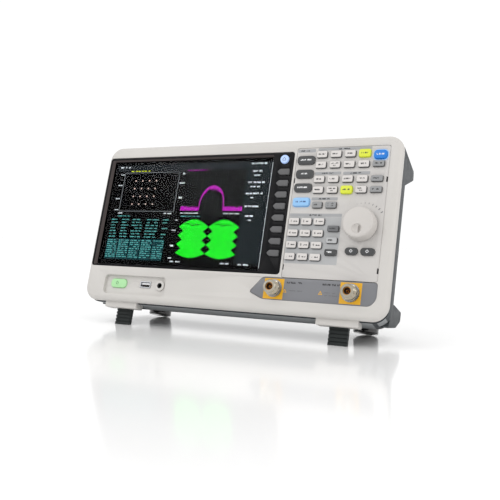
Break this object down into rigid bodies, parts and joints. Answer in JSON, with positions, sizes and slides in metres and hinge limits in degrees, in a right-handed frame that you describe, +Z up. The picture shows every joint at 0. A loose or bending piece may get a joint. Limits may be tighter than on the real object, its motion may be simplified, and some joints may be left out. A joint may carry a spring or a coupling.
{
  "type": "spectrum analyzer",
  "caption": "Bench spectrum analyzer with a large landscape display, softkeys, keypad, rotary knob, RF connectors, flip-out front legs and a folding carry handle.",
  "frame": {"origin": "middle of the bounding box on the surface that the instrument stands on", "axes": "+X to the right as the user faces the display, +Y from the display to the back, +Z up; the case leans back by 14.5 degrees"},
  "size_m": [0.393, 0.1676, 0.2258],
  "materials": {
    "light_plastic": "satin moulded plastic",
    "panel_plastic": "satin moulded plastic",
    "dark_plastic": "fine textured plastic",
    "leg_plastic": "ribbed satin plastic",
    "gloss_black": "polished",
    "screen_glass": "polished",
    "lcd": "metal-framed module",
    "key_white": "matt silicone",
    "key_grey": "matt silicone",
    "key_light": "matt silicone",
    "key_dark": "matt silicone",
    "key_light_blue": "matt silicone",
    "key_blue": "lit silicone",
    "softkey_grey": "satin",
    "home_key": "lit",
    "power_key": "lit green",
    "knob_plastic": "satin moulded plastic",
    "encoder_metal": "plain",
    "plate_metal": "satin printed",
    "nickel": "nickel plated",
    "socket_steel": "stamped",
    "jack_black": "moulded",
    "handle_plastic": "fine textured plastic",
    "fan_plastic": "moulded",
    "inlet_black": "moulded",
    "board": "solder mask",
    "shield": "plain sheet",
    "supply": "plain sheet"
  },
  "bodies": {
    "instrument": {"front_bezel": "light_plastic", "display_bezel": "gloss_black", "touch_glass": "screen_glass", "lcd_module": "lcd", "keypad_panel": "panel_plastic", "knob_encoder": "encoder_metal", "connector_plate": "plate_metal", "rf_output_connector": "nickel", "rf_input_connector": "nickel", "front_usb_port": "socket_steel", "headphone_jack": "jack_black", "rear_foot_left": "gloss_black", "rear_foot_right": "gloss_black", "rear_cover": "dark_plastic", "fan_frame": "fan_plastic", "mains_inlet": "inlet_black", "reference_in_connector": "nickel", "reference_out_connector": "nickel", "lan_port": "socket_steel", "keypad_board": "board", "main_board": "board", "rf_shield_can": "shield", "power_supply": "supply"},
    "softkey_1": {"softkey_1": "softkey_grey"},
    "softkey_2": {"softkey_2": "softkey_grey"},
    "softkey_3": {"softkey_3": "softkey_grey"},
    "softkey_4": {"softkey_4": "softkey_grey"},
    "softkey_5": {"softkey_5": "softkey_grey"},
    "softkey_6": {"softkey_6": "softkey_grey"},
    "softkey_7": {"softkey_7": "softkey_grey"},
    "softkey_8": {"softkey_8": "softkey_grey"},
    "home_key": {"home_key": "home_key"},
    "utility_key_1": {"utility_key_1": "key_dark"},
    "utility_key_2": {"utility_key_2": "key_dark"},
    "utility_key_3": {"utility_key_3": "key_dark"},
    "auto_set_key": {"auto_set_key": "key_light_blue"},
    "preset_key": {"preset_key": "key_blue"},
    "side_key_1": {"side_key_1": "key_grey"},
    "side_key_2": {"side_key_2": "key_grey"},
    "side_key_3": {"side_key_3": "key_grey"},
    "measure_key_1": {"measure_key_1": "key_grey"},
    "measure_key_2": {"measure_key_2": "key_grey"},
    "escape_key": {"escape_key": "key_grey"},
    "back_key": {"back_key": "key_light"},
    "enter_key": {"enter_key": "key_dark"},
    "step_left_key": {"step_left_key": "key_dark"},
    "step_right_key": {"step_right_key": "key_dark"},
    "function_key_mat": {"function_key_mat": "key_white"},
    "marker_key_mat": {"marker_key_mat": "key_white"},
    "system_key_mat": {"system_key_mat": "key_white"},
    "number_key_row_1": {"number_key_row_1": "key_white"},
    "number_key_row_2": {"number_key_row_2": "key_white"},
    "number_key_row_3": {"number_key_row_3": "key_white"},
    "number_key_row_4": {"number_key_row_4": "key_white"},
    "power_button": {"power_button": "power_key"},
    "rotary_knob": {"rotary_knob": "knob_plastic"},
    "fan_rotor": {"fan_rotor": "fan_plastic"},
    "front_leg_left": {"front_leg_left": "leg_plastic"},
    "front_leg_right": {"front_leg_right": "leg_plastic"},
    "carry_handle": {"carry_handle": "handle_plastic"}
  },
  "joints": [
    {"name": "rotary_knob_turn", "type": "hinge", "parent": "instrument", "child": "rotary_knob", "pos_m": [0.1592, -0.05204, 0.12813], "axis": [0, 0.9681, -0.2504], "continuous": true},
    {"name": "fan_rotor_spin", "type": "hinge", "parent": "instrument", "child": "fan_rotor", "pos_m": [-0.0465, 0.04252, 0.10636], "axis": [0, 0.9681, -0.2504], "continuous": true},
    {"name": "front_leg_left_fold", "type": "hinge", "parent": "instrument", "child": "front_leg_left", "pos_m": [-0.1413, -0.05998, 0.02194], "axis": [1, 0, 0], "range_deg": [0, 90]},
    {"name": "front_leg_right_fold", "type": "hinge", "parent": "instrument", "child": "front_leg_right", "pos_m": [0.1413, -0.05998, 0.02194], "axis": [1, 0, 0], "range_deg": [0, 90]},
    {"name": "carry_handle_lift", "type": "hinge", "parent": "instrument", "child": "carry_handle", "pos_m": [0, 0.03215, 0.20004], "axis": [1, 0, 0], "range_deg": [0, 100]},
    {"name": "softkey_1_press", "type": "slide", "parent": "instrument", "child": "softkey_1", "axis": [0, 0.9681, -0.2504], "range_m": [0, 0.0012], "stiffness_N_per_m": 250, "springref_m": -0.0012},
    {"name": "softkey_2_press", "type": "slide", "parent": "instrument", "child": "softkey_2", "axis": [0, 0.9681, -0.2504], "range_m": [0, 0.0012], "stiffness_N_per_m": 250, "springref_m": -0.0012},
    {"name": "softkey_3_press", "type": "slide", "parent": "instrument", "child": "softkey_3", "axis": [0, 0.9681, -0.2504], "range_m": [0, 0.0012], "stiffness_N_per_m": 250, "springref_m": -0.0012},
    {"name": "softkey_4_press", "type": "slide", "parent": "instrument", "child": "softkey_4", "axis": [0, 0.9681, -0.2504], "range_m": [0, 0.0012], "stiffness_N_per_m": 250, "springref_m": -0.0012},
    {"name": "softkey_5_press", "type": "slide", "parent": "instrument", "child": "softkey_5", "axis": [0, 0.9681, -0.2504], "range_m": [0, 0.0012], "stiffness_N_per_m": 250, "springref_m": -0.0012},
    {"name": "softkey_6_press", "type": "slide", "parent": "instrument", "child": "softkey_6", "axis": [0, 0.9681, -0.2504], "range_m": [0, 0.0012], "stiffness_N_per_m": 250, "springref_m": -0.0012},
    {"name": "softkey_7_press", "type": "slide", "parent": "instrument", "child": "softkey_7", "axis": [0, 0.9681, -0.2504], "range_m": [0, 0.0012], "stiffness_N_per_m": 250, "springref_m": -0.0012},
    {"name": "softkey_8_press", "type": "slide", "parent": "instrument", "child": "softkey_8", "axis": [0, 0.9681, -0.2504], "range_m": [0, 0.0012], "stiffness_N_per_m": 250, "springref_m": -0.0012},
    {"name": "home_key_press", "type": "slide", "parent": "instrument", "child": "home_key", "axis": [0, 0.9681, -0.2504], "range_m": [0, 0.0012], "stiffness_N_per_m": 250, "springref_m": -0.0012},
    {"name": "utility_key_1_press", "type": "slide", "parent": "instrument", "child": "utility_key_1", "axis": [0, 0.9681, -0.2504], "range_m": [0, 0.0012], "stiffness_N_per_m": 250, "springref_m": -0.0012},
    {"name": "utility_key_2_press", "type": "slide", "parent": "instrument", "child": "utility_key_2", "axis": [0, 0.9681, -0.2504], "range_m": [0, 0.0012], "stiffness_N_per_m": 250, "springref_m": -0.0012},
    {"name": "utility_key_3_press", "type": "slide", "parent": "instrument", "child": "utility_key_3", "axis": [0, 0.9681, -0.2504], "range_m": [0, 0.0012], "stiffness_N_per_m": 250, "springref_m": -0.0012},
    {"name": "auto_set_key_press", "type": "slide", "parent": "instrument", "child": "auto_set_key", "axis": [0, 0.9681, -0.2504], "range_m": [0, 0.0012], "stiffness_N_per_m": 250, "springref_m": -0.0012},
    {"name": "preset_key_press", "type": "slide", "parent": "instrument", "child": "preset_key", "axis": [0, 0.9681, -0.2504], "range_m": [0, 0.0012], "stiffness_N_per_m": 250, "springref_m": -0.0012},
    {"name": "side_key_1_press", "type": "slide", "parent": "instrument", "child": "side_key_1", "axis": [0, 0.9681, -0.2504], "range_m": [0, 0.0012], "stiffness_N_per_m": 250, "springref_m": -0.0012},
    {"name": "side_key_2_press", "type": "slide", "parent": "instrument", "child": "side_key_2", "axis": [0, 0.9681, -0.2504], "range_m": [0, 0.0012], "stiffness_N_per_m": 250, "springref_m": -0.0012},
    {"name": "side_key_3_press", "type": "slide", "parent": "instrument", "child": "side_key_3", "axis": [0, 0.9681, -0.2504], "range_m": [0, 0.0012], "stiffness_N_per_m": 250, "springref_m": -0.0012},
    {"name": "measure_key_1_press", "type": "slide", "parent": "instrument", "child": "measure_key_1", "axis": [0, 0.9681, -0.2504], "range_m": [0, 0.0012], "stiffness_N_per_m": 250, "springref_m": -0.0012},
    {"name": "measure_key_2_press", "type": "slide", "parent": "instrument", "child": "measure_key_2", "axis": [0, 0.9681, -0.2504], "range_m": [0, 0.0012], "stiffness_N_per_m": 250, "springref_m": -0.0012},
    {"name": "escape_key_press", "type": "slide", "parent": "instrument", "child": "escape_key", "axis": [0, 0.9681, -0.2504], "range_m": [0, 0.0012], "stiffness_N_per_m": 250, "springref_m": -0.0012},
    {"name": "back_key_press", "type": "slide", "parent": "instrument", "child": "back_key", "axis": [0, 0.9681, -0.2504], "range_m": [0, 0.0012], "stiffness_N_per_m": 250, "springref_m": -0.0012},
    {"name": "enter_key_press", "type": "slide", "parent": "instrument", "child": "enter_key", "axis": [0, 0.9681, -0.2504], "range_m": [0, 0.0012], "stiffness_N_per_m": 250, "springref_m": -0.0012},
    {"name": "step_left_key_press", "type": "slide", "parent": "instrument", "child": "step_left_key", "axis": [0, 0.9681, -0.2504], "range_m": [0, 0.0012], "stiffness_N_per_m": 250, "springref_m": -0.0012},
    {"name": "step_right_key_press", "type": "slide", "parent": "instrument", "child": "step_right_key", "axis": [0, 0.9681, -0.2504], "range_m": [0, 0.0012], "stiffness_N_per_m": 250, "springref_m": -0.0012},
    {"name": "function_key_mat_press", "type": "slide", "parent": "instrument", "child": "function_key_mat", "axis": [0, 0.9681, -0.2504], "range_m": [0, 0.0012], "stiffness_N_per_m": 250, "springref_m": -0.0012},
    {"name": "marker_key_mat_press", "type": "slide", "parent": "instrument", "child": "marker_key_mat", "axis": [0, 0.9681, -0.2504], "range_m": [0, 0.0012], "stiffness_N_per_m": 250, "springref_m": -0.0012},
    {"name": "system_key_mat_press", "type": "slide", "parent": "instrument", "child": "system_key_mat", "axis": [0, 0.9681, -0.2504], "range_m": [0, 0.0012], "stiffness_N_per_m": 250, "springref_m": -0.0012},
    {"name": "number_key_row_1_press", "type": "slide", "parent": "instrument", "child": "number_key_row_1", "axis": [0, 0.9681, -0.2504], "range_m": [0, 0.0012], "stiffness_N_per_m": 250, "springref_m": -0.0012},
    {"name": "number_key_row_2_press", "type": "slide", "parent": "instrument", "child": "number_key_row_2", "axis": [0, 0.9681, -0.2504], "range_m": [0, 0.0012], "stiffness_N_per_m": 250, "springref_m": -0.0012},
    {"name": "number_key_row_3_press", "type": "slide", "parent": "instrument", "child": "number_key_row_3", "axis": [0, 0.9681, -0.2504], "range_m": [0, 0.0012], "stiffness_N_per_m": 250, "springref_m": -0.0012},
    {"name": "number_key_row_4_press", "type": "slide", "parent": "instrument", "child": "number_key_row_4", "axis": [0, 0.9681, -0.2504], "range_m": [0, 0.0012], "stiffness_N_per_m": 250, "springref_m": -0.0012},
    {"name": "power_button_press", "type": "slide", "parent": "instrument", "child": "power_button", "axis": [0, 0.9681, -0.2504], "range_m": [0, 0.0012], "stiffness_N_per_m": 250, "springref_m": -0.0012}
  ]
}
